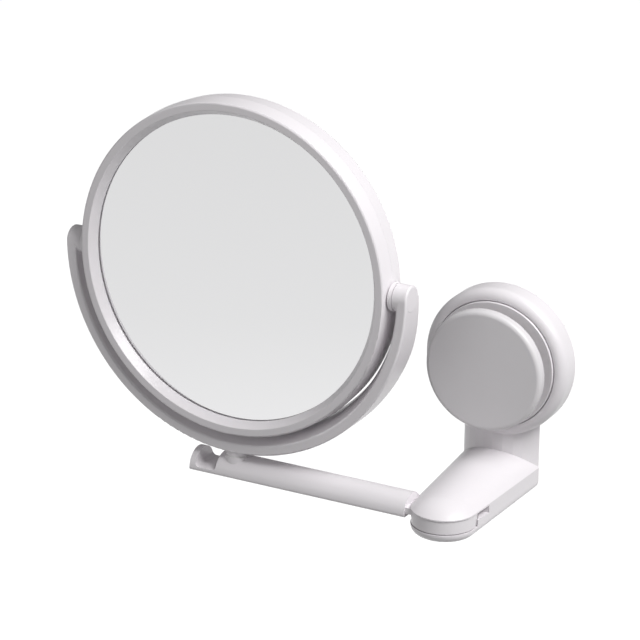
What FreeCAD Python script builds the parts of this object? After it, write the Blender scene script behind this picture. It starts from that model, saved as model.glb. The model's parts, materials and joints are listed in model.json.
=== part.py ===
import FreeCAD, Part
import math
import os

import Sketcher

# Wall-mounted twist-lock suction mirror on a swinging arm.
# World frame in mm: origin on the wall at the centre of the suction mount,
# +X to the right, -Y out of the wall, +Z up.  "Depth" means distance out of the wall.

os.makedirs("parts", exist_ok=True)
doc = FreeCAD.newDocument("WallMirror")

# ---------------------------------------------------------------- sizes

SIZES = [
    # suction mount, depths measured out of the wall
    ("base_radius", 37.0), ("base_wall", 2.6), ("base_back", 0.8), ("base_front", 13.6),
    ("base_round", 4.6), ("base_web", 2.4), ("shoulder_width", 5.4),
    ("plate_play", 0.4), ("plate_rise", 1.0), ("plate_back", 9.1), ("plate_edge", 0.35),
    ("knob_radius", 30.1), ("knob_back_depth", 20.8), ("knob_front", 26.0), ("knob_wall", 2.0),
    ("knob_round", 2.2), ("knob_lip_round", 0.6), ("hub_radius", 12.1), ("hub_inner", 8.0),
    ("hub_depth", 10.4), ("flange_thick", 1.5), ("hub_wall", 2.0),
    ("pad_inset", 3.0), ("pad_lip", 1.2), ("pad_slope", 4.6), ("pad_thick", 3.4),
    ("pad_hub", 8.0), ("pad_hub_depth", 6.4), ("stem_radius", 3.0), ("stem_foot", 2.0),
    ("stem_top", 19.9), ("stem_round", 0.3), ("sleeve_wall", 1.2), ("sleeve_front", 16.4),
    ("cross_pin_radius", 0.9), ("cross_pin_length", 13.0), ("cross_pin_depth", 18.5),
    ("cam_depth", 12.6), ("fit_gap", 0.05), ("seat_gap", 0.1), ("free_gap", 0.3),
    # bracket
    ("disc_back", 3.8), ("disc_front", 8.9), ("neck_half", 20.0), ("neck_crest", 12.0),
    ("neck_top", 20.0), ("neck_tail", 12.0), ("shoe_crest", 43.5), ("shoe_bottom", 67.4), ("shoe_lift", 2.0),
    ("shoe_half_back", 20.3), ("shoe_arc_back", 24.5), ("bottom_round", 4.0),
    ("arm_depth", 63.5), ("toe_radius", 15.9), ("toe_crest", 48.8), ("toe_arc", 22.9),
    ("slot_top", 55.9), ("slot_floor", 4.4), ("slot_back", 60.3), ("notch_back", 50.0),
    ("pivot_radius", 4.0), ("pivot_top", 52.6), ("pivot_head", 6.5), ("pivot_head_thick", 1.6),
    ("pivot_recess", 3.2), ("cap_radius", 6.9),
    # arm
    ("eye_radius", 15.6), ("eye_drop", 0.6), ("tongue_half", 7.6), ("tongue_thick", 3.1),
    ("arm_start", 16.9), ("arm_overhang", 22.5), ("arm_half", 8.93), ("arm_top", 51.4),
    ("arm_bottom", 61.3), ("arm_round", 1.6), ("end_wall", 3.2), ("scoop_length", 11.4),
    ("scoop_floor", 58.8), ("scoop_round", 2.0), ("boss_radius", 6.6), ("boss_top", 50.9),
    ("washer_thick", 0.3), ("washer_width", 4.0),
    # yoke
    ("axis_offset", 111.8), ("yoke_space", 5.0), ("yoke_band", 4.9), ("yoke_waist_space", 1.1), ("yoke_waist", 4.0),
    ("yoke_tail_space", 0.1),
    ("yoke_bottom", 48.4), ("yoke_front", 6.6), ("yoke_back", 11.2), ("yoke_round", 1.0),
    ("yoke_taper", 34.0), ("boss_space", 2.5), ("collar_radius", 6.2), ("collar_base", 7.0),
    ("collar_flare", 1.6), ("spigot_radius", 3.6), ("spigot_length", 6.6),
    ("screw_radius", 1.5), ("screw_head", 4.0), ("screw_head_thick", 1.8), ("screw_bite", 4.0),
    ("yoke_washer_radius", 6.2), ("yoke_washer_thick", 0.4),
    ("pin_radius", 1.8), ("pin_engage", 4.0), ("pin_seat", 5.0), ("side_washer_radius", 6.9),
    # mirror head, heights measured forward of the tilt axis
    ("head_radius", 83.0), ("frame_width", 7.4), ("glass_cover", 1.0), ("rim_side", 0.7),
    ("rim_width", 4.0), ("rim_height", 9.4), ("rim_round", 0.9), ("rim_inner_round", 0.5),
    ("lip_height", 4.9), ("lip_gap", 0.7), ("glass_face", 3.8), ("glass_thick", 1.9),
    ("board_thick", 1.2),
    ("tray_width", 6.0), ("glass_curve", 18.0),
]

sheet = doc.addObject("Spreadsheet::Sheet", "Sizes")
for row, (alias, value) in enumerate(SIZES, 1):
    sheet.set("A%d" % row, alias)
    sheet.set("B%d" % row, "%g" % value)
    sheet.setAlias("B%d" % row, alias)
doc.recompute()


class Dim:
    """A size with its present value and the spreadsheet expression behind it."""

    def __init__(self, text, value):
        self.text = text
        self.value = float(value)

    def __add__(self, other):
        other = dim(other)
        return Dim("(%s + %s)" % (self.text, other.text), self.value + other.value)

    def __sub__(self, other):
        other = dim(other)
        return Dim("(%s - %s)" % (self.text, other.text), self.value - other.value)

    def __mul__(self, other):
        other = dim(other)
        return Dim("(%s * %s)" % (self.text, other.text), self.value * other.value)

    def __neg__(self):
        return Dim("(0 - %s)" % self.text, -self.value)


def dim(value):
    if isinstance(value, Dim):
        return value
    return Dim("%g" % value, value)


class Sizes:
    """Gives every named size as an attribute."""


z = Sizes()
for alias, value in SIZES:
    setattr(z, alias, Dim("Sizes.%s" % alias, value))

# sizes that follow from the named ones, so that mating parts keep their fit
z.base_inside = z.base_radius - z.base_wall
z.ring_mouth = z.base_radius - z.shoulder_width
z.plate_radius = z.ring_mouth - z.plate_play
z.plate_bore = z.hub_radius + z.free_gap
z.pad_radius = z.base_radius - z.pad_inset
z.disc_radius = z.base_inside - z.plate_play
z.clear_radius = z.base_inside + z.free_gap
z.slot_bottom = z.shoe_bottom - z.slot_floor
z.eye_bottom = z.slot_bottom - z.eye_drop
z.eye_top = z.slot_top + z.free_gap
z.eye_cavity = z.eye_radius + z.free_gap
z.tongue_bottom = z.eye_top + z.tongue_thick
z.notch_bottom = z.tongue_bottom + z.free_gap
z.arm_end = z.axis_offset + z.arm_overhang
z.yoke_inner = z.head_radius + z.yoke_space
z.yoke_outer = z.yoke_inner + z.yoke_band
z.yoke_waist_inner = z.head_radius + z.yoke_waist_space
z.yoke_tail_inner = z.head_radius - z.yoke_tail_space
z.yoke_boss_inner = z.head_radius + z.boss_space
z.mirror_height = z.yoke_outer - z.yoke_bottom
z.glass_view = z.head_radius - z.frame_width
z.glass_radius = z.glass_view + z.glass_cover
z.glass_pocket = z.glass_radius + z.free_gap
z.rim_outer = z.head_radius - z.rim_side
z.rim_inner = z.rim_outer - z.rim_width
z.lip_under = z.glass_face + z.lip_gap
z.concave_radius = z.head_radius * z.glass_curve

OUT_OF_WALL = FreeCAD.Rotation(FreeCAD.Vector(1, 0, 0), 90)
SIDEWAYS = FreeCAD.Rotation(FreeCAD.Vector(0, 1, 0), 90)
NO_TURN = FreeCAD.Rotation()


# ---------------------------------------------------------------- helpers

def bind(obj, prop, size):
    obj.setExpression(prop, dim(size).text)


def place(obj, x=0, y=0, height=0, turn=NO_TURN):
    """Set an object's placement, with its three offsets bound to the sheet."""
    x, y, height = dim(x), dim(y), dim(height)
    obj.Placement = FreeCAD.Placement(FreeCAD.Vector(x.value, y.value, height.value), turn)
    bind(obj, ".Placement.Base.x", x)
    bind(obj, ".Placement.Base.y", y)
    bind(obj, ".Placement.Base.z", height)
    return obj


def hold(sketch, kind, geometry, point, size):
    """Tie one coordinate of a sketch point to a size."""
    index = sketch.addConstraint(Sketcher.Constraint(kind, -1, 1, geometry, point, dim(size).value))
    sketch.setExpression("Constraints[%d]" % index, dim(size).text)


def radius_of(sketch, geometry, size):
    index = sketch.addConstraint(Sketcher.Constraint("Radius", geometry, size.value))
    sketch.setExpression("Constraints[%d]" % index, size.text)


def polygon(sketch, points):
    """Closed outline through points given as pairs of sizes."""
    points = [(dim(a), dim(b)) for a, b in points]
    count = len(points)
    for i in range(count):
        a, b = points[i]
        c, d = points[(i + 1) % count]
        start = FreeCAD.Vector(a.value, b.value, 0)
        end = FreeCAD.Vector(c.value, d.value, 0)
        sketch.addGeometry(Part.LineSegment(start, end))
    for i in range(count):
        sketch.addConstraint(Sketcher.Constraint("Coincident", i, 2, (i + 1) % count, 1))
    for i, (a, b) in enumerate(points):
        hold(sketch, "DistanceX", i, 1, a)
        hold(sketch, "DistanceY", i, 1, b)


def origin_plane(body, role):
    for feature in body.Origin.OriginFeatures:
        if feature.Role == role:
            return feature
    raise ValueError(role)


def body_sketch(body, name, role):
    sketch = body.newObject("Sketcher::SketchObject", name)
    sketch.AttachmentSupport = [(origin_plane(body, role), "")]
    sketch.MapMode = "FlatFace"
    return sketch


def new_body(label):
    body = doc.addObject("PartDesign::Body", label)
    body.Label = label
    return body


def revolved_body(label, points):
    """Body of revolution about its own Z axis; points are (radius, height) pairs."""
    body = new_body(label)
    sketch = body_sketch(body, label + "_profile", "XZ_Plane")
    polygon(sketch, points)
    doc.recompute()
    turn = body.newObject("PartDesign::Revolution", label + "_turn")
    turn.Profile = sketch
    turn.ReferenceAxis = (sketch, ["V_Axis"])
    turn.Angle = 360
    body.Tip = turn
    sketch.Visibility = False
    doc.recompute()
    return body


def soften(body, name, size, places):
    """Round the circular edges lying at the given (radius, height) places."""
    base = body.Tip
    names = []
    for index, edge in enumerate(base.Shape.Edges, 1):
        if not isinstance(edge.Curve, Part.Circle):
            continue
        for radius, height in places:
            near_radius = abs(edge.Curve.Radius - dim(radius).value) < 0.01
            near_height = abs(edge.Curve.Center.z - dim(height).value) < 0.01
            if near_radius and near_height:
                names.append("Edge%d" % index)
    fillet = body.newObject("PartDesign::Fillet", name)
    fillet.Base = (base, names)
    bind(fillet, "Radius", size)
    fillet.Radius = size.value
    body.Tip = fillet
    doc.recompute()
    return fillet


def cylinder(name, radius, height, x=0, y=0, level=0, turn=NO_TURN):
    solid = doc.addObject("Part::Cylinder", name)
    bind(solid, "Radius", radius)
    bind(solid, "Height", height)
    return place(solid, x, y, level, turn)


def box(name, length, width, height, x=0, y=0, level=0):
    solid = doc.addObject("Part::Box", name)
    bind(solid, "Length", length)
    bind(solid, "Width", width)
    bind(solid, "Height", height)
    return place(solid, x, y, level)


def cone(name, lower, upper, height, x=0, y=0, level=0, turn=NO_TURN):
    solid = doc.addObject("Part::Cone", name)
    bind(solid, "Radius1", lower)
    bind(solid, "Radius2", upper)
    bind(solid, "Height", height)
    return place(solid, x, y, level, turn)


def fuse(name, shapes):
    joined = doc.addObject("Part::MultiFuse", name)
    joined.Shapes = shapes
    joined.Refine = True
    doc.recompute()
    return joined


def cut(name, base, tools):
    """Take one tool or several away from a base."""
    tool = tools[0] if len(tools) == 1 else fuse(name + "_tools", tools)
    result = doc.addObject("Part::Cut", name)
    result.Base = base
    result.Tool = tool
    result.Refine = True
    doc.recompute()
    return result


def common(name, shapes):
    result = doc.addObject("Part::MultiCommon", name)
    result.Shapes = shapes
    result.Refine = True
    doc.recompute()
    return result


def extrusion(name, sketch, direction, length):
    solid = doc.addObject("Part::Extrusion", name)
    solid.Base = sketch
    solid.DirMode = "Custom"
    solid.Dir = FreeCAD.Vector(*direction)
    bind(solid, "LengthFwd", length)
    solid.LengthFwd = dim(length).value
    solid.Solid = True
    doc.recompute()
    return solid


def rounded(name, base, size, wanted):
    """Round the edges of a solid that the wanted() test picks."""
    edges = [(i, size.value, size.value) for i, e in enumerate(base.Shape.Edges, 1) if wanted(e)]
    result = doc.addObject("Part::Fillet", name)
    result.Base = base
    result.Edges = edges
    doc.recompute()
    return result


def flat_circle(edge, radius, level):
    """True for a horizontal circular edge of this radius and level."""
    if not isinstance(edge.Curve, Part.Circle):
        return False
    return abs(edge.Curve.Radius - radius) < 0.01 and abs(edge.Curve.Center.z - level) < 0.01


def upright_circle(edge, x):
    """True for a circular edge that stands across X at this place."""
    return isinstance(edge.Curve, Part.Circle) and abs(edge.Curve.Center.x - x) < 0.01


NODES = []


def node(obj, label):
    obj.Label = label
    NODES.append(obj)
    return obj


def wall_node(body, label):
    """A body of revolution about the mount's axis."""
    return node(place(body, turn=OUT_OF_WALL), label)


# ---------------------------------------------------------------- suction mount

def make_suction_pad():
    shoulder = z.pad_radius - z.pad_slope
    body = revolved_body("suction_pad", [
        (0, 0), (z.pad_radius, 0), (z.pad_radius, z.pad_lip), (shoulder, z.pad_thick),
        (z.pad_hub, z.pad_thick), (z.pad_hub, z.pad_hub_depth),
        (z.stem_radius + z.free_gap, z.pad_hub_depth), (z.stem_radius + z.free_gap, z.stem_foot),
        (0, z.stem_foot)])
    wall_node(body, "suction_pad")


def make_pull_stem():
    body = revolved_body("pull_stem", [
        (0, z.stem_foot + z.seat_gap), (z.stem_radius, z.stem_foot + z.seat_gap),
        (z.stem_radius, z.stem_top), (0, z.stem_top)])
    sketch = body_sketch(body, "pull_stem_hole", "XZ_Plane")
    sketch.addGeometry(Part.Circle(FreeCAD.Vector(0, z.cross_pin_depth.value, 0),
                                   FreeCAD.Vector(0, 0, 1), z.cross_pin_radius.value))
    hold(sketch, "DistanceX", 0, 3, 0)
    hold(sketch, "DistanceY", 0, 3, z.cross_pin_depth)
    radius_of(sketch, 0, z.cross_pin_radius)
    doc.recompute()
    hole = body.newObject("PartDesign::Pocket", "pull_stem_cross")
    hole.Profile = sketch
    hole.Type = "ThroughAll"
    hole.Midplane = True
    body.Tip = hole
    doc.recompute()
    soften(body, "pull_stem_edge", z.stem_round, [(z.stem_radius, z.stem_top)])
    # the cross hole runs along the stem's own Y, so the stem is turned to bring it to world X
    turn = OUT_OF_WALL.multiply(FreeCAD.Rotation(FreeCAD.Vector(0, 0, 1), 90))
    node(place(body, turn=turn), "pull_stem")


def make_cross_pin():
    half = z.cross_pin_length * 0.5
    node(cylinder("cross_pin", z.cross_pin_radius, z.cross_pin_length, -half,
                  -z.cross_pin_depth, 0, SIDEWAYS), "cross_pin")


def make_guide_sleeve():
    inner = z.stem_radius + z.free_gap
    outer = inner + z.sleeve_wall
    foot = z.hub_inner - z.free_gap
    body = revolved_body("guide_sleeve", [
        (inner, z.disc_front), (foot, z.disc_front), (foot, z.hub_depth), (outer, z.hub_depth + 1),
        (outer, z.sleeve_front), (inner, z.sleeve_front)])
    wall_node(body, "guide_sleeve")


def make_base_ring():
    inside = z.base_inside
    web = z.base_front - z.base_web
    body = revolved_body("base_ring", [
        (inside, z.base_back), (z.base_radius, z.base_back), (z.base_radius, z.base_front),
        (z.ring_mouth, z.base_front), (z.ring_mouth, web), (inside, web)])
    soften(body, "base_ring_shoulder", z.base_round, [(z.base_radius, z.base_front)])
    soften(body, "base_ring_mouth", z.plate_play, [(z.ring_mouth, z.base_front)])
    # passage for the bracket's neck through the lower wall
    sketch = body_sketch(body, "neck_passage_outline", "XZ_Plane")
    polygon(sketch, neck_outline(z.free_gap))
    doc.recompute()
    passage = body.newObject("PartDesign::Pocket", "neck_passage")
    passage.Profile = sketch
    passage.Type = "Length"
    bind(passage, "Length", z.base_radius + 5)
    body.Tip = passage
    doc.recompute()
    low = Part.makeBox(2, 4, 4, FreeCAD.Vector(-1, -z.base_radius.value - 1, z.neck_crest.value / 2))
    if body.Shape.common(low).Volume > 1:
        passage.Reversed = True
        doc.recompute()
    wall_node(body, "base_ring")


NECK_STEPS = 12
NECK_FLATNESS = 0.72


def neck_outline(gap):
    """Neck section as (across, depth) pairs: flat on the wall, bowed at the front."""
    half = z.neck_half
    points = [(-half - gap, z.base_back - gap - 1), (half + gap, z.base_back - gap - 1)]
    edge = math.sqrt(1 - NECK_FLATNESS)
    for i in range(NECK_STEPS + 1):
        share = math.cos(math.pi * i / NECK_STEPS)
        bow = math.sqrt(1 - NECK_FLATNESS * share * share)
        rise = (bow - edge) / (1 - edge)
        points.append(((half + gap) * share, z.base_back + (z.neck_crest - z.base_back) * rise + gap))
    return points


def make_face_plate():
    web = z.base_front - z.base_web - z.seat_gap
    inside = z.base_inside - z.seat_gap
    front = z.base_front + z.plate_rise
    body = revolved_body("face_plate", [
        (z.plate_bore, z.plate_back), (inside, z.plate_back), (inside, web),
        (z.plate_radius, web), (z.plate_radius, front), (z.plate_bore, front)])
    soften(body, "face_plate_edge", z.plate_edge,
           [(z.plate_radius, front), (z.plate_bore, front)])
    wall_node(body, "face_plate")


def make_locking_knob():
    inside = z.knob_radius - z.knob_wall
    ceiling = z.knob_front - z.knob_wall
    body = revolved_body("locking_knob", [
        (0, z.knob_front), (z.knob_radius, z.knob_front), (z.knob_radius, z.knob_back_depth),
        (inside, z.knob_back_depth), (inside, ceiling), (0, ceiling)])
    soften(body, "locking_knob_rim", z.knob_round, [(z.knob_radius, z.knob_front)])
    soften(body, "locking_knob_back", z.knob_lip_round, [(z.knob_radius, z.knob_back_depth)])
    wall_node(body, "locking_knob")


def make_knob_back():
    outer = z.knob_radius - z.knob_wall - z.seat_gap
    ceiling = z.knob_front - z.knob_wall - z.seat_gap
    floor = z.knob_back_depth + z.seat_gap * 2
    bore = z.hub_inner + z.seat_gap
    shelf = floor + z.flange_thick
    rib = z.hub_radius + z.hub_wall
    body = revolved_body("knob_back", [
        (bore, z.hub_depth), (z.hub_radius, z.hub_depth), (z.hub_radius, floor), (outer, floor),
        (outer, shelf), (rib, shelf), (rib, ceiling),
        (bore, ceiling)])
    wall_node(body, "knob_back")


def make_cam_ring():
    inner = z.stem_radius + z.sleeve_wall + z.free_gap * 3
    top = z.cross_pin_depth - z.cross_pin_radius - z.fit_gap
    body = revolved_body("cam_ring", [
        (inner, z.cam_depth), (z.hub_inner, z.cam_depth), (z.hub_inner, top), (inner, top)])
    wall_node(body, "cam_ring")


# ---------------------------------------------------------------- bracket

def arch_sketch(name, half, crest, arc, bottom, depth):
    """Arched section with a flat bottom, standing in a plane parallel to the wall."""
    sketch = doc.addObject("Sketcher::SketchObject", name)
    centre = -crest - arc
    reach = math.asin(half.value / arc.value)
    right = FreeCAD.Vector(half.value, centre.value + arc.value * math.cos(reach), 0)
    left = FreeCAD.Vector(-half.value, right.y, 0)
    low_right = FreeCAD.Vector(half.value, -bottom.value, 0)
    low_left = FreeCAD.Vector(-half.value, -bottom.value, 0)
    circle = Part.Circle(FreeCAD.Vector(0, centre.value, 0), FreeCAD.Vector(0, 0, 1), arc.value)
    sketch.addGeometry(Part.ArcOfCircle(circle, math.pi / 2 - reach, math.pi / 2 + reach))
    sketch.addGeometry(Part.LineSegment(left, low_left))
    sketch.addGeometry(Part.LineSegment(low_left, low_right))
    sketch.addGeometry(Part.LineSegment(low_right, right))
    sketch.addConstraint(Sketcher.Constraint("Coincident", 0, 2, 1, 1))
    sketch.addConstraint(Sketcher.Constraint("Coincident", 1, 2, 2, 1))
    sketch.addConstraint(Sketcher.Constraint("Coincident", 2, 2, 3, 1))
    sketch.addConstraint(Sketcher.Constraint("Coincident", 3, 2, 0, 1))
    hold(sketch, "DistanceX", 0, 3, 0)
    hold(sketch, "DistanceY", 0, 3, centre)
    radius_of(sketch, 0, arc)
    hold(sketch, "DistanceX", 0, 1, half)
    hold(sketch, "DistanceX", 0, 2, -half)
    hold(sketch, "DistanceX", 1, 2, -half)
    hold(sketch, "DistanceY", 1, 2, -bottom)
    hold(sketch, "DistanceX", 2, 2, half)
    hold(sketch, "DistanceY", 2, 2, -bottom)
    place(sketch, 0, -depth, 0, OUT_OF_WALL)
    doc.recompute()
    return sketch


def shoe_bottom_edge(edge):
    """True for the shoe's bottom edges, but not the one hidden inside the toe."""
    ends = [v.Point for v in edge.Vertexes]
    if len(ends) != 2:
        return False
    low = all(p.z < (z.shoe_lift - z.shoe_bottom).value + 0.01 for p in ends)
    hidden = all(abs(p.y + z.arm_depth.value) < 0.01 for p in ends)
    return low and not hidden


def make_bracket():
    back = arch_sketch("shoe_back", z.shoe_half_back, z.shoe_crest, z.shoe_arc_back,
                       z.shoe_bottom - z.shoe_lift, z.base_back)
    front = arch_sketch("shoe_front", z.toe_radius, z.toe_crest, z.toe_arc, z.shoe_bottom,
                        z.arm_depth)
    loft = doc.addObject("Part::Loft", "shoe_loft")
    loft.Sections = [back, front]
    loft.Solid = True
    loft.Ruled = True
    doc.recompute()
    shoe = rounded("shoe", loft, z.bottom_round, shoe_bottom_edge)

    # the toe: an upright round end under a shallow dome that carries on the arch
    blank = cylinder("toe_blank", z.toe_radius, z.shoe_bottom - z.toe_crest + 1, 0, -z.arm_depth,
                     -z.shoe_bottom)
    doc.recompute()
    low_level = -z.shoe_bottom.value
    toe_low = rounded("toe_low_round", blank, z.bottom_round,
                      lambda e: flat_circle(e, z.toe_radius.value, low_level))
    dome = doc.addObject("Part::Sphere", "toe_dome")
    bind(dome, "Radius", z.toe_arc)
    place(dome, 0, -z.arm_depth, -z.toe_crest - z.toe_arc)
    doc.recompute()
    toe = common("toe", [toe_low, dome])

    section = doc.addObject("Sketcher::SketchObject", "neck_section")
    polygon(section, [(a, -b) for a, b in neck_trim()])
    place(section, 0, 0, -z.shoe_crest - z.neck_tail)
    doc.recompute()
    neck = extrusion("neck_blank", section, (0, 0, 1), z.shoe_crest + z.neck_tail - z.neck_top)
    clear_front = cylinder("clear_front", z.clear_radius, z.neck_crest, 0, -z.disc_front, 0,
                           OUT_OF_WALL)
    clear_back = cylinder("clear_back", z.clear_radius, z.disc_back, 0, 0, 0, OUT_OF_WALL)
    neck_cut = cut("neck", neck, [clear_front, clear_back])

    disc = cylinder("disc_blank", z.disc_radius, z.disc_front - z.disc_back, 0, -z.disc_back, 0,
                    OUT_OF_WALL)
    bore = cylinder("disc_bore", z.pad_hub + z.seat_gap, z.disc_front + 1, 0, 0, 0, OUT_OF_WALL)
    solid = fuse("bracket_solid", [shoe, toe, neck_cut, disc])

    wide = z.toe_radius * 4
    slot_height = z.slot_bottom - z.slot_top
    slot = box("slot", wide, z.toe_radius * 2, slot_height, -wide * 0.5,
               -z.slot_back - z.toe_radius * 2, -z.slot_bottom)
    cavity = cylinder("eye_room", z.eye_cavity, slot_height, 0, -z.arm_depth, -z.slot_bottom)
    notch = box("notch", wide, z.slot_back - z.notch_back + 1, z.notch_bottom - z.slot_top,
                -wide * 0.5, -z.slot_back - 1, -z.notch_bottom)
    pin_hole = cylinder("pin_hole", z.pivot_radius, z.shoe_bottom - z.pivot_top, 0, -z.arm_depth,
                        -z.shoe_bottom)
    head_hole = cylinder("head_hole", z.cap_radius + z.seat_gap, z.pivot_recess, 0,
                         -z.arm_depth, -z.shoe_bottom)
    bracket = cut("bracket", solid, [slot, cavity, notch, pin_hole, head_hole, bore])
    node(bracket, "bracket")


def neck_trim():
    """Neck section starting at the back of the mount."""
    points = neck_outline(dim(0))
    return [(points[0][0], z.base_back), (points[1][0], z.base_back)] + points[3:-1]


def make_arm_pivot():
    head_top = z.shoe_bottom - z.pivot_recess
    shank = cylinder("pivot_shank", z.pivot_radius, head_top - z.pivot_top - z.seat_gap, 0,
                     -z.arm_depth, -head_top)
    head = cylinder("pivot_cheese", z.pivot_head, z.pivot_head_thick, 0, -z.arm_depth,
                    -head_top - z.pivot_head_thick)
    node(fuse("arm_pivot_pin", [shank, head]), "arm_pivot_pin")


def make_pivot_cap():
    thick = z.pivot_recess - z.pivot_head_thick - z.seat_gap
    cap = cylinder("pivot_cap", z.cap_radius, thick, 0, -z.arm_depth, -z.shoe_bottom)
    node(cap, "pivot_cap")


def make_arm_washer():
    level = z.slot_bottom - z.seat_gap
    blank = cylinder("arm_washer_blank", z.pivot_radius + z.washer_width, z.washer_thick, 0,
                     -z.arm_depth, -level)
    hole = cylinder("arm_washer_hole", z.pivot_radius + z.fit_gap, z.washer_thick, 0, -z.arm_depth,
                    -level)
    node(cut("arm_washer", blank, [hole]), "arm_washer")


# ---------------------------------------------------------------- arm

def long_arm_edge(edge):
    """True for the arm's two long bottom edges."""
    ends = [v.Point for v in edge.Vertexes]
    if len(ends) != 2:
        return False
    low = all(abs(p.z + z.arm_bottom.value) < 0.01 for p in ends)
    return low and abs(ends[0].x - ends[1].x) > 10


def scoop_corner(edge):
    """True for the scoop's two bottom edges that run across the arm."""
    ends = [v.Point for v in edge.Vertexes]
    low = all(abs(p.z + z.scoop_floor.value) < 0.01 for p in ends)
    return low and abs(ends[0].x - ends[1].x) < 0.01


def make_swing_arm():
    sketch = doc.addObject("Sketcher::SketchObject", "arm_section")
    half = z.arm_half.value
    middle = -(z.arm_top + z.arm_half)
    circle = Part.Circle(FreeCAD.Vector(0, middle.value, 0), FreeCAD.Vector(0, 0, 1), half)
    sketch.addGeometry(Part.ArcOfCircle(circle, 0, math.pi))
    low = -z.arm_bottom.value
    right, left = FreeCAD.Vector(half, middle.value, 0), FreeCAD.Vector(-half, middle.value, 0)
    low_right, low_left = FreeCAD.Vector(half, low, 0), FreeCAD.Vector(-half, low, 0)
    sketch.addGeometry(Part.LineSegment(left, low_left))
    sketch.addGeometry(Part.LineSegment(low_left, low_right))
    sketch.addGeometry(Part.LineSegment(low_right, right))
    sketch.addConstraint(Sketcher.Constraint("Coincident", 0, 2, 1, 1))
    sketch.addConstraint(Sketcher.Constraint("Coincident", 1, 2, 2, 1))
    sketch.addConstraint(Sketcher.Constraint("Coincident", 2, 2, 3, 1))
    sketch.addConstraint(Sketcher.Constraint("Coincident", 3, 2, 0, 1))
    hold(sketch, "DistanceX", 0, 3, 0)
    hold(sketch, "DistanceY", 0, 3, middle)
    radius_of(sketch, 0, z.arm_half)
    hold(sketch, "DistanceY", 0, 1, middle)
    hold(sketch, "DistanceY", 0, 2, middle)
    hold(sketch, "DistanceX", 1, 2, -z.arm_half)
    hold(sketch, "DistanceY", 1, 2, -z.arm_bottom)
    hold(sketch, "DistanceX", 2, 2, z.arm_half)
    hold(sketch, "DistanceY", 2, 2, -z.arm_bottom)
    upright = FreeCAD.Rotation(FreeCAD.Vector(1, 1, 1), 120)
    place(sketch, -z.arm_end, -z.arm_depth, 0, upright)
    doc.recompute()
    bar = extrusion("arm_bar", sketch, (1, 0, 0), z.arm_end - z.arm_start)
    bar = rounded("arm_bar_soft", bar, z.arm_round, long_arm_edge)

    scoop_from = z.arm_end - z.end_wall
    wide = z.arm_half * 4
    scoop = box("scoop_box", z.scoop_length, wide, z.scoop_floor - z.boss_top + 5, -scoop_from,
                -z.arm_depth - wide * 0.5, -z.scoop_floor)
    doc.recompute()
    scoop = rounded("scoop", scoop, z.scoop_round, scoop_corner)
    bar = cut("arm_scooped", bar, [scoop])

    foot = z.arm_bottom - z.arm_round
    boss = cylinder("arm_boss", z.boss_radius, foot - z.boss_top, -z.axis_offset, -z.arm_depth,
                    -foot)
    eye = cylinder("arm_eye", z.eye_radius, z.eye_bottom - z.eye_top, 0, -z.arm_depth,
                   -z.eye_bottom)
    tongue = box("arm_tongue", z.arm_start + 2, z.tongue_half * 2, z.tongue_thick,
                 -z.arm_start - 2, -z.arm_depth - z.tongue_half, -z.tongue_bottom)
    solid = fuse("arm_solid", [bar, boss, eye, tongue])

    tall = z.eye_bottom - z.boss_top
    eye_hole = cylinder("eye_hole", z.pivot_radius + z.fit_gap, tall, 0, -z.arm_depth,
                        -z.eye_bottom)
    spigot_room = z.spigot_length + z.free_gap
    spigot_hole = cylinder("spigot_hole", z.spigot_radius + z.fit_gap, spigot_room,
                           -z.axis_offset, -z.arm_depth, -z.boss_top - spigot_room)
    screw_hole = cylinder("screw_hole", z.screw_radius + z.free_gap, tall, -z.axis_offset,
                          -z.arm_depth, -z.eye_bottom)
    head_hole = cylinder("screw_head_hole", z.screw_head + z.free_gap, z.screw_head_thick * 2,
                         -z.axis_offset, -z.arm_depth, -z.arm_bottom - z.screw_head_thick)
    node(cut("swing_arm", solid, [eye_hole, spigot_hole, screw_hole, head_hole]), "swing_arm")


# ---------------------------------------------------------------- yoke

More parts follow.
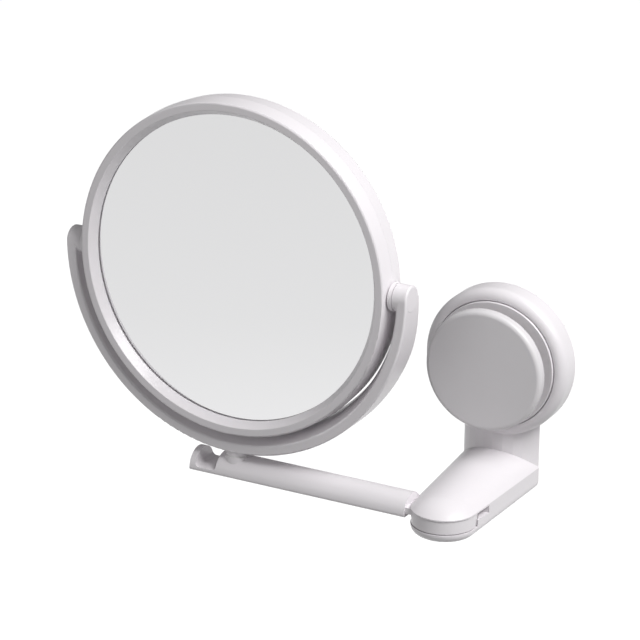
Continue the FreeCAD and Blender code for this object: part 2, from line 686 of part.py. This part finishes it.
def make_yoke():
    ring = revolved_body("yoke_ring", [
        (z.yoke_tail_inner, -z.yoke_back), (z.yoke_outer, -z.yoke_back),
        (z.yoke_outer, z.yoke_front), (z.yoke_inner, z.yoke_front),
        (z.yoke_waist_inner, -z.yoke_waist)])
    soften(ring, "yoke_ring_edges", z.yoke_round,
           [(z.yoke_outer, z.yoke_front), (z.yoke_inner, z.yoke_front), (z.yoke_outer, -z.yoke_back)])
    place(ring, -z.axis_offset, -z.arm_depth, z.mirror_height, OUT_OF_WALL)

    # the open top, and the taper that narrows the band towards its two ends
    wide = z.yoke_outer * 2 + 10
    thick = z.yoke_back + z.yoke_front + 4
    upper = box("yoke_upper", wide, thick, z.yoke_outer + 5, -z.axis_offset - wide * 0.5,
                -z.arm_depth - z.yoke_front - 2, z.mirror_height)
    wedge = doc.addObject("Sketcher::SketchObject", "yoke_wedge")
    polygon(wedge, [(z.yoke_front, 1), (z.yoke_back + 2, 1), (z.yoke_back + 2, -z.yoke_taper),
                    (z.yoke_back, -z.yoke_taper), (z.yoke_front + 0.6, -z.yoke_front)])
    upright = FreeCAD.Rotation(FreeCAD.Vector(1, 1, 1), 120)
    place(wedge, -z.axis_offset - wide * 0.5, -z.arm_depth, z.mirror_height, upright)
    doc.recompute()
    taper = extrusion("yoke_end_taper", wedge, (1, 0, 0), wide)
    band = cut("yoke_band", ring, [upper, taper])

    thick = z.yoke_outer - z.yoke_boss_inner
    right_blank = cylinder("yoke_right_blank", z.yoke_front, thick,
                           -z.axis_offset + z.yoke_boss_inner, -z.arm_depth, z.mirror_height,
                           SIDEWAYS)
    left_blank = cylinder("yoke_left_blank", z.yoke_front, thick, -z.axis_offset - z.yoke_outer,
                          -z.arm_depth, z.mirror_height, SIDEWAYS)
    doc.recompute()
    right = rounded("yoke_end_right", right_blank, z.yoke_round,
                    lambda e: upright_circle(e, (z.yoke_outer - z.axis_offset).value))
    left = rounded("yoke_end_left", left_blank, z.yoke_round,
                   lambda e: upright_circle(e, (-z.axis_offset - z.yoke_outer).value))
    seat = z.boss_top - z.yoke_washer_thick - z.seat_gap
    flare_top = z.mirror_height - z.yoke_outer + 1
    flare = cone("yoke_flare", z.collar_radius, z.collar_base, z.collar_flare, -z.axis_offset,
                 -z.arm_depth, flare_top - z.collar_flare)
    collar = cylinder("yoke_collar", z.collar_radius, flare_top + seat, -z.axis_offset,
                      -z.arm_depth, -seat)
    spigot = cylinder("yoke_spigot", z.spigot_radius, z.spigot_length + 1, -z.axis_offset,
                      -z.arm_depth, -z.boss_top - z.spigot_length)
    solid = fuse("yoke_solid", [band, right, left, flare, collar, spigot])
    span = (z.yoke_boss_inner + z.pin_seat) * 2
    pin_bore = cylinder("yoke_pin_bore", z.pin_radius, span, -z.axis_offset - span * 0.5,
                        -z.arm_depth, z.mirror_height, SIDEWAYS)
    screw_bore = cylinder("yoke_screw_bore", z.screw_radius, z.spigot_length + z.screw_bite,
                          -z.axis_offset, -z.arm_depth, -z.boss_top - z.spigot_length)
    room = z.yoke_boss_inner * 2
    washer_room = cylinder("yoke_washer_room", z.side_washer_radius + z.free_gap, room,
                           -z.axis_offset - z.yoke_boss_inner, -z.arm_depth, z.mirror_height,
                           SIDEWAYS)
    node(cut("yoke", solid, [pin_bore, screw_bore, washer_room]), "yoke")


def make_yoke_screw():
    low = z.arm_bottom - z.screw_head_thick + z.seat_gap
    head_low = z.arm_bottom - z.free_gap
    shank = cylinder("yoke_screw_shank", z.screw_radius, low - z.boss_top + z.screw_bite - 1,
                     -z.axis_offset, -z.arm_depth, -low)
    head = cylinder("yoke_screw_cheese", z.screw_head, head_low - low, -z.axis_offset,
                    -z.arm_depth, -head_low)
    node(fuse("yoke_screw", [shank, head]), "yoke_screw")


def make_yoke_washer():
    level = z.boss_top - z.fit_gap
    blank = cylinder("yoke_washer_blank", z.yoke_washer_radius, z.yoke_washer_thick,
                     -z.axis_offset, -z.arm_depth, -level)
    hole = cylinder("yoke_washer_hole", z.spigot_radius + z.fit_gap, z.yoke_washer_thick,
                    -z.axis_offset, -z.arm_depth, -level)
    node(cut("yoke_washer", blank, [hole]), "yoke_washer")


def make_tilt_pins():
    reach = z.yoke_boss_inner + z.pin_seat - z.seat_gap
    length = reach - z.head_radius + z.pin_engage
    node(cylinder("left_pin", z.pin_radius, length, -z.axis_offset - reach, -z.arm_depth,
                  z.mirror_height, SIDEWAYS), "left_pin")
    node(cylinder("right_pin", z.pin_radius, length, -z.axis_offset + reach - length,
                  -z.arm_depth, z.mirror_height, SIDEWAYS), "right_pin")
    start = z.head_radius + z.free_gap
    thick = z.yoke_boss_inner - z.free_gap - start
    sides = [("left_washer", -z.axis_offset - start - thick), ("right_washer", -z.axis_offset + start)]
    for label, x in sides:
        blank = cylinder(label + "_blank", z.side_washer_radius, thick, x, -z.arm_depth,
                         z.mirror_height, SIDEWAYS)
        hole = cylinder(label + "_hole", z.pin_radius + z.fit_gap, thick, x, -z.arm_depth,
                        z.mirror_height, SIDEWAYS)
        node(cut(label, blank, [hole]), label)


# ---------------------------------------------------------------- mirror head

def head_node(body, label):
    place(body, -z.axis_offset, -z.arm_depth, z.mirror_height, OUT_OF_WALL)
    return node(body, label)


def tilt_bore(body, label):
    """Bore both walls of a frame half for the tilt pins, which run along X."""
    sketch = body_sketch(body, label + "_bore_outline", "YZ_Plane")
    sketch.addGeometry(Part.Circle(FreeCAD.Vector(0, 0, 0), FreeCAD.Vector(0, 0, 1),
                                   z.pin_radius.value))
    hold(sketch, "DistanceX", 0, 3, 0)
    hold(sketch, "DistanceY", 0, 3, 0)
    radius_of(sketch, 0, z.pin_radius + z.fit_gap)
    doc.recompute()
    bore = body.newObject("PartDesign::Pocket", label + "_bore")
    bore.Profile = sketch
    bore.Type = "ThroughAll"
    bore.Midplane = True
    body.Tip = bore
    doc.recompute()


def make_front_bezel():
    body = revolved_body("front_bezel", [
        (z.glass_view, z.lip_under), (z.glass_view, z.lip_height), (z.rim_inner, z.rim_height),
        (z.rim_outer, z.rim_height), (z.head_radius, z.fit_gap), (z.glass_pocket, z.fit_gap),
        (z.glass_pocket, z.lip_under)])
    soften(body, "front_rim_edge", z.rim_round, [(z.rim_outer, z.rim_height)])
    soften(body, "front_rim_inner_edge", z.rim_inner_round, [(z.rim_inner, z.rim_height)])
    tilt_bore(body, "front_bezel")
    head_node(body, "front_bezel")


def make_rear_shell():
    body = revolved_body("rear_shell", [
        (z.glass_pocket, 0), (z.head_radius, 0), (z.rim_outer, -z.rim_height),
        (z.rim_inner, -z.rim_height), (z.glass_view, -z.lip_height), (z.glass_view, -z.lip_under),
        (z.glass_pocket, -z.lip_under)])
    soften(body, "rear_rim_edge", z.rim_round, [(z.rim_outer, -z.rim_height)])
    soften(body, "rear_rim_inner_edge", z.rim_inner_round, [(z.rim_inner, -z.rim_height)])
    tilt_bore(body, "rear_shell")
    head_node(body, "rear_shell")


def make_front_mirror():
    body = revolved_body("front_mirror", [
        (0, z.glass_face - z.glass_thick), (z.glass_radius, z.glass_face - z.glass_thick),
        (z.glass_radius, z.glass_face), (0, z.glass_face)])
    head_node(body, "front_mirror")


def make_centre_board():
    """A shallow tray: flat behind the front glass, with an edge that backs the rear glass."""
    top = z.glass_face - z.glass_thick - z.seat_gap
    foot = z.free_gap + z.seat_gap - (z.glass_face - z.glass_thick)
    inside = z.glass_radius - z.tray_width
    body = revolved_body("centre_board", [
        (0, top - z.board_thick), (inside, top - z.board_thick), (inside, foot),
        (z.glass_radius, foot), (z.glass_radius, top), (0, top)])
    head_node(body, "centre_board")


def make_rear_mirror():
    """Concave magnifying glass: both faces are arcs about the same far centre."""
    body = new_body("rear_mirror")
    sketch = body_sketch(body, "rear_mirror_profile", "XZ_Plane")
    far, near = z.concave_radius, z.concave_radius - z.glass_thick
    edge = z.glass_radius
    sag = math.sqrt(far.value ** 2 - edge.value ** 2)
    centre = -(z.glass_face - z.glass_thick) - Dim(
        "sqrt(%s ^ 2 - %s ^ 2)" % (far.text, edge.text), sag)
    rays = []
    for arc in (far, near):
        circle = Part.Circle(FreeCAD.Vector(0, centre.value, 0), FreeCAD.Vector(0, 0, 1), arc.value)
        start = math.acos(edge.value / arc.value)
        sketch.addGeometry(Part.ArcOfCircle(circle, start, math.pi / 2))
        rays.append((start, arc.value))
    heights = [centre.value + arc * math.sin(start) for start, arc in rays]
    tops = [centre.value + arc for start, arc in rays]
    sketch.addGeometry(Part.LineSegment(FreeCAD.Vector(0, tops[0], 0), FreeCAD.Vector(0, tops[1], 0)))
    sketch.addGeometry(Part.LineSegment(FreeCAD.Vector(edge.value, heights[1], 0),
                                        FreeCAD.Vector(edge.value, heights[0], 0)))
    sketch.addConstraint(Sketcher.Constraint("Coincident", 0, 2, 2, 1))
    sketch.addConstraint(Sketcher.Constraint("Coincident", 2, 2, 1, 2))
    sketch.addConstraint(Sketcher.Constraint("Coincident", 1, 1, 3, 1))
    sketch.addConstraint(Sketcher.Constraint("Coincident", 3, 2, 0, 1))
    for index, arc in enumerate((far, near)):
        hold(sketch, "DistanceX", index, 3, 0)
        hold(sketch, "DistanceY", index, 3, centre)
        radius_of(sketch, index, arc)
        hold(sketch, "DistanceX", index, 1, edge)
        hold(sketch, "DistanceX", index, 2, 0)
    doc.recompute()
    turn = body.newObject("PartDesign::Revolution", "rear_mirror_turn")
    turn.Profile = sketch
    turn.ReferenceAxis = (sketch, ["V_Axis"])
    turn.Angle = 360
    body.Tip = turn
    doc.recompute()
    head_node(body, "rear_mirror")


# ---------------------------------------------------------------- build, check and export

make_suction_pad()
make_pull_stem()
make_cross_pin()
make_guide_sleeve()
make_base_ring()
make_face_plate()
make_locking_knob()
make_knob_back()
make_cam_ring()
make_bracket()
make_arm_pivot()
make_pivot_cap()
make_arm_washer()
make_swing_arm()
make_yoke()
make_yoke_screw()
make_yoke_washer()
make_tilt_pins()
make_front_bezel()
make_rear_shell()
make_front_mirror()
make_centre_board()
make_rear_mirror()

doc.recompute()
for item in doc.Objects:
    if "Invalid" in item.State or "Error" in item.State:
        raise RuntimeError("%s did not recompute: %s" % (item.Name, item.State))
for item in NODES:
    shape = item.Shape
    if shape.isNull() or not shape.isValid() or not shape.Solids:
        raise RuntimeError("%s has no valid solid" % item.Label)
    shape.exportStep("parts/%s.step" % item.Label)
    bounds = shape.BoundBox
    print("%-16s solids %d volume %9.1f  X %7.1f %7.1f  Y %6.1f %6.1f  Z %6.1f %6.1f" % (
        item.Label, len(shape.Solids), shape.Volume, bounds.XMin, bounds.XMax, bounds.YMin,
        bounds.YMax, bounds.ZMin, bounds.ZMax))
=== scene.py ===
import json
import math

import bpy
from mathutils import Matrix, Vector


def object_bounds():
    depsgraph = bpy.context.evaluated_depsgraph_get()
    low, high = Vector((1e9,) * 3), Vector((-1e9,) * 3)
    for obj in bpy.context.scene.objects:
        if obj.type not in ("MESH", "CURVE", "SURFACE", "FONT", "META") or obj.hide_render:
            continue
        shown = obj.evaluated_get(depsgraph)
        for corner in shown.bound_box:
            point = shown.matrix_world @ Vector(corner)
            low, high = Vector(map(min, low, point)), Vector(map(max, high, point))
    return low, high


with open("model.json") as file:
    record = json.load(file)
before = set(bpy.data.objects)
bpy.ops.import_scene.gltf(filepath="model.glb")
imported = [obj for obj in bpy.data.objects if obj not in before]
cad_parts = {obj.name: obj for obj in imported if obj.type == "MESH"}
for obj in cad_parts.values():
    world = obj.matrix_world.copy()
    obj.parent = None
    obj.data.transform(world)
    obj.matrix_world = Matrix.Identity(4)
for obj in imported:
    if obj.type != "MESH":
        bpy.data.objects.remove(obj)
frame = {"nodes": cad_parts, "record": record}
cad_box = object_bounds()

# plastics: the roughness varies by its spread, coat is the weight of the gloss, ripple that of the bumps
PLASTICS = {
    "white_plastic": {
        "colour": (0.83, 0.80, 0.825), "rough": 0.38, "spread": 0.04, "coat": 0.12, "ripple": 0.015},
    # knob_plastic is the same white plastic as white_plastic, its colour darkened as painted shade on the
    # knob
    "knob_plastic": {
        "colour": (0.74, 0.72, 0.737), "rough": 0.42, "spread": 0.05, "coat": 0.08, "ripple": 0.04},
    "inner_plastic": {
        "colour": (0.76, 0.755, 0.74), "rough": 0.5, "spread": 0.08, "coat": 0.0, "ripple": 0.15},
}
# how strong the fine grain of a plastic is beside its ripple
GRAIN_SHARE = 0.6
# the part of a noise's range that most of its values lie in
NOISE_RANGE = (0.3, 0.7)

# the studio, in metres and watts
FLOOR_SIZE = 40
FLOOR_DROP = 0.6
FLOOR_GLOW = 0.8
WORLD_LIGHT = 0.21
KEY = {"place": (0.78, -0.24, 1.02), "size": 0.8, "power": 19}
FILL = {"place": (-0.6, -1.5, 0.5), "size": 1.2, "power": 2.4}

# the camera's place round its target, and its lens in millimetres
AZIMUTH = math.radians(28.45)
ELEVATION = math.radians(19.91)
ROLL = math.radians(0.4)
DISTANCE = 1.2967
TARGET = Vector((-0.1014, 0, -0.0002))
LENS = 146.25
SENSOR = 36
CLIP_START = 0.05


# ---------------------------------------------------------------- nodes

def set_inputs(node, values):
    """Sets a node's inputs by their names."""
    for name, value in values.items():
        node.inputs[name].default_value = value


def new_material(name, values):
    """A new node material whose shader has these values, with its tree and object coordinates."""
    material = bpy.data.materials.new(name)
    material.use_nodes = True
    tree = material.node_tree
    shader = tree.nodes["Principled BSDF"]
    set_inputs(shader, values)
    coords = tree.nodes.new("ShaderNodeTexCoord")
    return material, tree, shader, coords


def noise(tree, coords, scale, detail=4.0):
    """A noise value that stays with the object."""
    node = tree.nodes.new("ShaderNodeTexNoise")
    set_inputs(node, {"Scale": scale, "Detail": detail})
    tree.links.new(coords.outputs["Object"], node.inputs["Vector"])
    return node.outputs["Fac"]


def span(tree, value, low, high):
    """Maps a noise value onto low to high."""
    node = tree.nodes.new("ShaderNodeMapRange")
    set_inputs(node, {"From Min": NOISE_RANGE[0], "From Max": NOISE_RANGE[1], "To Min": low, "To Max": high})
    tree.links.new(value, node.inputs["Value"])
    return node.outputs["Result"]


def bump(tree, height, strength, distance, normal=None):
    """The normal of a bumped surface, on top of another bump's normal if one is given."""
    node = tree.nodes.new("ShaderNodeBump")
    set_inputs(node, {"Strength": strength, "Distance": distance})
    tree.links.new(height, node.inputs["Height"])
    if normal is not None:
        tree.links.new(normal, node.inputs["Normal"])
    return node.outputs["Normal"]


# ---------------------------------------------------------------- materials

def moulded_plastic(name, colour, rough, spread, coat, ripple):
    """Glossy moulded plastic: soft flow ripple, fine texture and handling marks in the gloss."""
    material, tree, shader, coords = new_material(name, {
        "Base Color": (*colour, 1), "IOR": 1.5, "Coat Weight": coat, "Coat Roughness": 0.2})
    marks = noise(tree, coords, scale=55)
    tree.links.new(span(tree, marks, rough - spread, rough + spread), shader.inputs["Roughness"])
    flow = noise(tree, coords, scale=90, detail=2)
    grain = noise(tree, coords, scale=1400, detail=3)
    soft = bump(tree, flow, strength=ripple, distance=0.0004)
    fine = bump(tree, grain, strength=ripple * GRAIN_SHARE, distance=0.00004, normal=soft)
    tree.links.new(fine, shader.inputs["Normal"])
    return material


def worn_surface(name, values, scale, roughness, strength, distance):
    """A surface bumped by a noise, which also varies its roughness from low to high if they are given."""
    material, tree, shader, coords = new_material(name, values)
    wear = noise(tree, coords, scale)
    if roughness is not None:
        tree.links.new(span(tree, wear, *roughness), shader.inputs["Roughness"])
    tree.links.new(bump(tree, wear, strength, distance), shader.inputs["Normal"])
    return material


def silvered_glass():
    """Mirror glass with a faint film of wiping marks."""
    return worn_surface("mirror_glass_look", {"Base Color": (0.70, 0.70, 0.705, 1), "Metallic": 1.0},
                        scale=30, roughness=(0.02, 0.05), strength=0.02, distance=0.00005)


def plated_steel():
    """Bright plating with fine scratches."""
    return worn_surface("steel_look", {"Base Color": (0.62, 0.62, 0.63, 1), "Metallic": 1.0},
                        scale=600, roughness=(0.2, 0.38), strength=0.1, distance=0.0001)


def soft_rubber():
    """Cloudy, slightly clear rubber with a little dust."""
    return worn_surface("pad_rubber_look", {
        "Base Color": (0.62, 0.65, 0.67, 1), "Transmission Weight": 0.35, "IOR": 1.45},
        scale=120, roughness=(0.3, 0.5), strength=0.15, distance=0.0003)


def fibre_board():
    """Dull brown board with its fibres."""
    return worn_surface("backing_board_look", {"Base Color": (0.42, 0.39, 0.35, 1), "Roughness": 0.85},
                        scale=900, roughness=None, strength=0.3, distance=0.0002)


finish = {slot: moulded_plastic(slot + "_look", **values) for slot, values in PLASTICS.items()}
finish["mirror_glass"] = silvered_glass()
finish["steel"] = plated_steel()
finish["pad_rubber"] = soft_rubber()
finish["backing_board"] = fibre_board()

slot_of = {row["node"]: row["material_slot"] for row in frame["record"]["subparts"]}
for name, obj in frame["nodes"].items():
    look = finish[slot_of[name]]
    if not obj.material_slots:
        obj.data.materials.append(look)
    for material_slot in obj.material_slots:
        material_slot.material = look


# ---------------------------------------------------------------- studio

def plain_floor(level):
    """A pale floor well below the object, which doesn't throw its own light up onto it."""
    bpy.ops.mesh.primitive_plane_add(size=FLOOR_SIZE, location=(0, 0, level))
    floor = bpy.context.object
    floor.name = "studio_floor"
    pale = new_material("studio_floor_look", {
        "Base Color": (0.9, 0.9, 0.9, 1), "Roughness": 0.9, "Specular IOR Level": 0.0,
        "Emission Color": (1, 1, 1, 1), "Emission Strength": FLOOR_GLOW})[0]
    floor.data.materials.append(pale)
    floor.visible_diffuse = False


def soft_light(name, target, place, size, power):
    """A round area light that faces its target."""
    lamp = bpy.data.lights.new(name, "AREA")
    lamp.shape = "DISK"
    lamp.size = size
    lamp.energy = power
    light = bpy.data.objects.new(name, lamp)
    bpy.context.scene.collection.objects.link(light)
    light.location = place
    light.rotation_euler = (Vector(target) - Vector(place)).to_track_quat("-Z", "Y").to_euler()


def even_surround():
    """Weak even light from all round."""
    world = bpy.data.worlds.new("studio")
    bpy.context.scene.world = world
    world.use_nodes = True
    set_inputs(world.node_tree.nodes["Background"], {"Color": (1, 1, 1, 1), "Strength": WORLD_LIGHT})


def long_lens_camera():
    """A camera in front of the wall, right of the mirror and above it, that looks at the target."""
    back = Vector((math.sin(AZIMUTH) * math.cos(ELEVATION),
                   -math.cos(AZIMUTH) * math.cos(ELEVATION), math.sin(ELEVATION)))
    optics = bpy.data.cameras.new("photo_camera")
    optics.lens = LENS
    optics.sensor_width = SENSOR
    optics.clip_start = CLIP_START
    camera = bpy.data.objects.new("photo_camera", optics)
    bpy.context.scene.collection.objects.link(camera)
    camera.location = TARGET + back * DISTANCE
    camera.rotation_euler = back.to_track_quat("Z", "Y").to_euler()
    camera.rotation_euler.rotate_axis("Z", ROLL)
    bpy.context.scene.camera = camera


low, high = cad_box
centre = [(a + b) / 2 for a, b in zip(low, high)]
plain_floor(low[2] - FLOOR_DROP)
soft_light("key", centre, **KEY)
soft_light("fill", centre, **FILL)
even_surround()
bpy.context.scene.view_settings.view_transform = "Standard"
long_lens_camera()
